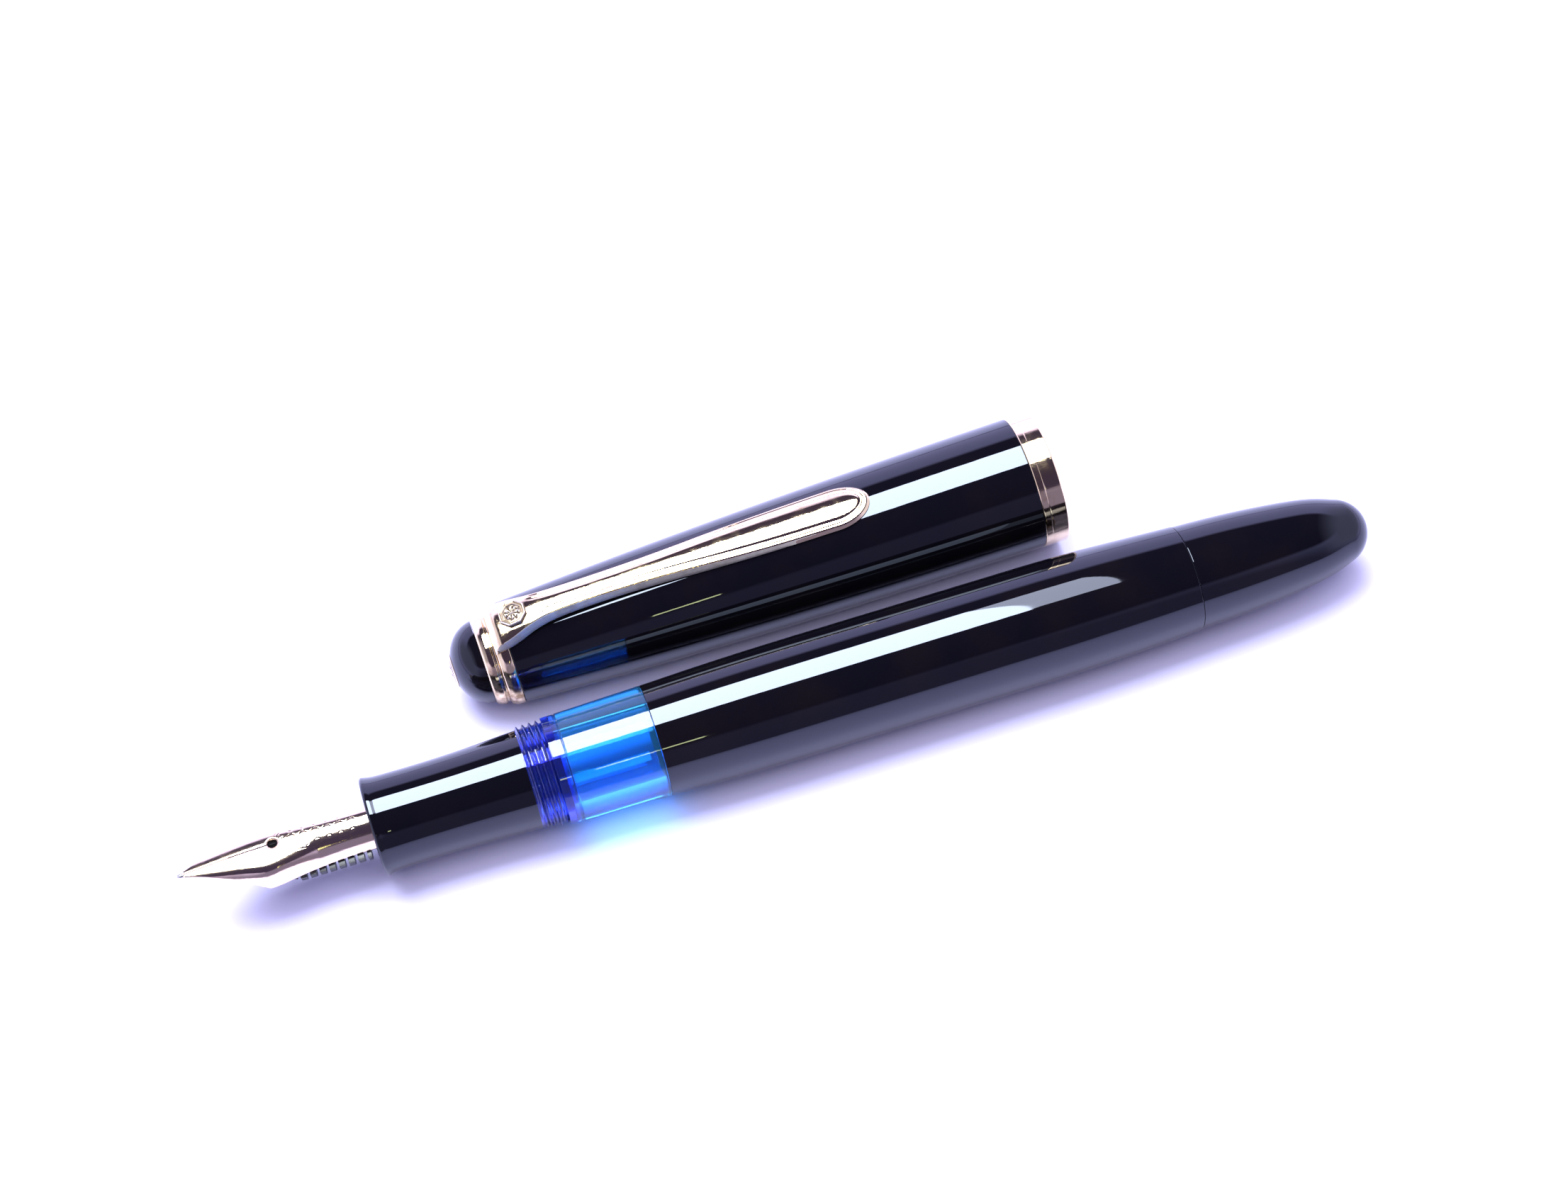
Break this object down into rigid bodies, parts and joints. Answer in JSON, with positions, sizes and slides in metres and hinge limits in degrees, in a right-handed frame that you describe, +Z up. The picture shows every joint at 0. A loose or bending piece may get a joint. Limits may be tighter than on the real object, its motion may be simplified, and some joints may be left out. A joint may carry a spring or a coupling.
{
  "type": "fountain pen",
  "caption": "Piston-filling fountain pen, uncapped, with nib and feed, clear ink window, turning knob, and a clip cap lying beside it.",
  "frame": {"origin": "on the surface that the pen and cap lie on, in the middle of their bounding box", "axes": "+X along the pen from nib to knob, +Y from the pen towards its cap, +Z up"},
  "size_m": [0.1211, 0.028, 0.014],
  "materials": {
    "black_resin": "polished black resin",
    "clear_blue_resin": "polished clear blue resin",
    "gold_trim": "polished gold plating",
    "nib_gold": "polished gold",
    "hard_tip": "ground hard tipping",
    "badge_metal": "satin pale metal",
    "feed_plastic": "satin black",
    "inner_plastic": "moulded dark plastic",
    "seal_plastic": "pale soft seal",
    "drive_brass": "turned brass",
    "steel_parts": "turned steel"
  },
  "bodies": {
    "pen": {"grip_section": "black_resin", "nib_collar": "feed_plastic", "nib": "nib_gold", "nib_tipping": "hard_tip", "feed": "feed_plastic", "ink_chamber": "clear_blue_resin", "barrel_sleeve": "black_resin", "rod_guide": "inner_plastic", "filler_housing": "inner_plastic", "nut_retainer": "drive_brass"},
    "drive": {"drive_nut": "drive_brass", "thrust_washer": "drive_brass"},
    "knob": {"turning_knob": "black_resin", "knob_insert": "drive_brass"},
    "piston": {"piston_rod": "inner_plastic", "piston_head": "inner_plastic", "piston_seal": "seal_plastic", "rod_pin": "steel_parts"},
    "cap": {"cap_tube": "black_resin", "cap_band": "gold_trim", "inner_cap": "inner_plastic", "clip_ring": "gold_trim", "finial": "black_resin", "finial_badge": "badge_metal", "finial_stud": "drive_brass", "stud_washer": "steel_parts", "stud_nut": "drive_brass"},
    "clip": {"clip": "gold_trim", "clip_badge": "gold_trim"}
  },
  "joints": [
    {"name": "knob_turn", "type": "hinge", "parent": "pen", "child": "drive", "pos_m": [0.02585, -0.00812, 0.00586], "axis": [1, 0, 0], "range_deg": [0, 1440]},
    {"name": "knob_rise", "type": "slide", "parent": "drive", "child": "knob", "axis": [1, 0, 0], "range_m": [0, 0.006]},
    {"name": "piston_travel", "type": "slide", "parent": "pen", "child": "piston", "axis": [-1, 0, 0], "range_m": [0, 0.028]},
    {"name": "cap_lift", "type": "slide", "parent": "pen", "child": "cap", "axis": [0, 0, 1], "range_m": [0, 0.06]},
    {"name": "clip_lift", "type": "hinge", "parent": "cap", "child": "clip", "pos_m": [-0.02353, 0.00649, 0.01117], "axis": [0.0124, -0.9999, 0], "range_deg": [0, 3], "stiffness_Nm_per_rad": 0.5}
  ],
  "couplings": [
    {"joint": "knob_rise", "follows": "knob_turn", "m_per_rad": 0.0002387},
    {"joint": "piston_travel", "follows": "knob_turn", "m_per_rad": 0.001114}
  ]
}
